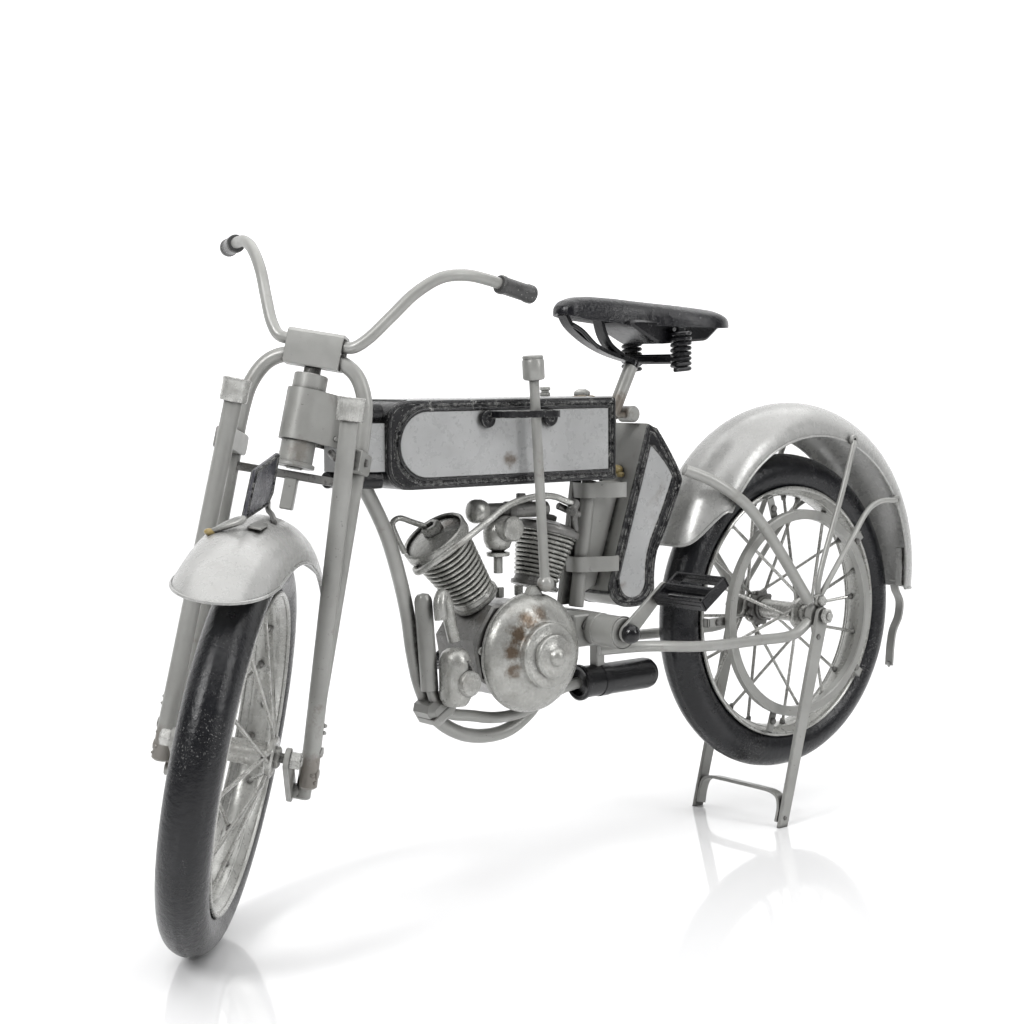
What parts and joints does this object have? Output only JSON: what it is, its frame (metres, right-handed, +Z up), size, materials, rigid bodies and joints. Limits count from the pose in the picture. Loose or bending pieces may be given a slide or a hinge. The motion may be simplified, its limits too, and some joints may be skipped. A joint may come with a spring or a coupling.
{
  "type": "model_motorcycle",
  "caption": "Tin model of an early V-twin motorcycle in grey enamel with black tyres and saddle, on its rear stand, front wheel turned left",
  "frame": {"origin": "on the ground under the middle of the model's bounding box", "axes": "+X forward along the frame, +Y to the rider's left, +Z up from the ground"},
  "size_m": [0.3568, 0.1246, 0.2101],
  "materials": {
    "enamel": "light warm grey enamel, satin, with dark grime in the seams and small rust-brown patches",
    "dark_enamel": "dark grey enamel, satin, scuffed at the edges",
    "engine_metal": "silver-grey paint with dark wash between the fins",
    "steel": "dull plated steel, grimy in the corners",
    "wire": "drawn wire, soldered, slightly yellowed",
    "black": "semi-gloss black paint with a few specks",
    "tyre": "smooth semi-gloss black rubber, speckled with dust"
  },
  "bodies": {
    "frame": {"head_tube": "enamel", "head_lug": "enamel", "front_frame": "enamel", "seat_tube": "enamel", "bottom_bracket": "enamel", "tool_case": "enamel", "chain_stay_left": "enamel", "chain_stay_right": "enamel", "seat_stay_left": "enamel", "seat_stay_right": "enamel", "tank": "enamel", "filler_cap": "engine_metal", "oil_cap": "engine_metal", "lever_guide": "dark_enamel", "saddle": "black", "saddle_frame": "black", "saddle_spring_left": "black", "saddle_spring_right": "black", "crankcase": "engine_metal", "belt_cover": "engine_metal", "front_cylinder": "engine_metal", "rear_cylinder": "engine_metal", "carburettor": "engine_metal", "magneto": "engine_metal", "oil_line": "wire", "exhaust_pipe": "enamel", "muffler": "black", "frame_clamp": "enamel", "breather_pipe": "engine_metal", "rear_fender": "enamel", "fender_stay_left": "enamel", "fender_stay_right": "enamel", "stand_clip": "enamel", "rear_axle": "steel"},
    "steering": {"steering_stem": "enamel", "fork_tube": "enamel", "handlebar": "enamel", "grip_left": "black", "grip_right": "black", "spring_leg_left": "enamel", "spring_leg_right": "enamel", "fork_bridge": "enamel", "rocker_left": "enamel", "rocker_right": "enamel", "front_axle": "steel", "front_fender": "enamel", "number_plate": "dark_enamel"},
    "front_wheel": {"front_tyre": "tyre", "front_rim": "steel", "front_hub": "wire"},
    "rear_wheel": {"rear_tyre": "tyre", "rear_rim": "steel", "rear_hub": "wire", "belt_ring": "enamel"},
    "stand": {"stand": "enamel"},
    "hand_lever": {"hand_lever": "enamel"},
    "crankset": {"crankset": "enamel"},
    "pedal_left": {"pedal_left": "black"},
    "pedal_right": {"pedal_right": "black"}
  },
  "joints": [
    {"name": "steering_turn", "type": "hinge", "parent": "frame", "child": "steering", "pos_m": [0.10212, 0.00127, 0.15067], "axis": [-0.2346, 0, 0.9721], "range_deg": [-90, 2]},
    {"name": "front_wheel_spin", "type": "hinge", "parent": "steering", "child": "front_wheel", "pos_m": [0.13667, 0.0154, 0.05809], "axis": [-0.7447, 0.6428, -0.1797], "continuous": true},
    {"name": "rear_wheel_spin", "type": "hinge", "parent": "frame", "child": "rear_wheel", "pos_m": [-0.10641, 0.00127, 0.0756], "axis": [0, 1, 0], "continuous": true},
    {"name": "stand_fold", "type": "hinge", "parent": "frame", "child": "stand", "pos_m": [-0.10641, 0.00127, 0.0756], "axis": [0, 1, 0], "range_deg": [0, 88]},
    {"name": "hand_lever_swing", "type": "hinge", "parent": "frame", "child": "hand_lever", "pos_m": [0.02049, 0.01687, 0.0942], "axis": [0, 1, 0], "range_deg": [-4.5, 12]},
    {"name": "crank_turn", "type": "hinge", "parent": "frame", "child": "crankset", "pos_m": [-0.00411, 0.00127, 0.0794], "axis": [0, 1, 0], "continuous": true},
    {"name": "left_pedal_spin", "type": "hinge", "parent": "crankset", "child": "pedal_left", "pos_m": [-0.02071, 0.04187, 0.0932], "axis": [0, 1, 0], "continuous": true},
    {"name": "right_pedal_spin", "type": "hinge", "parent": "crankset", "child": "pedal_right", "pos_m": [0.01249, -0.03933, 0.0656], "axis": [0, 1, 0], "continuous": true}
  ]
}
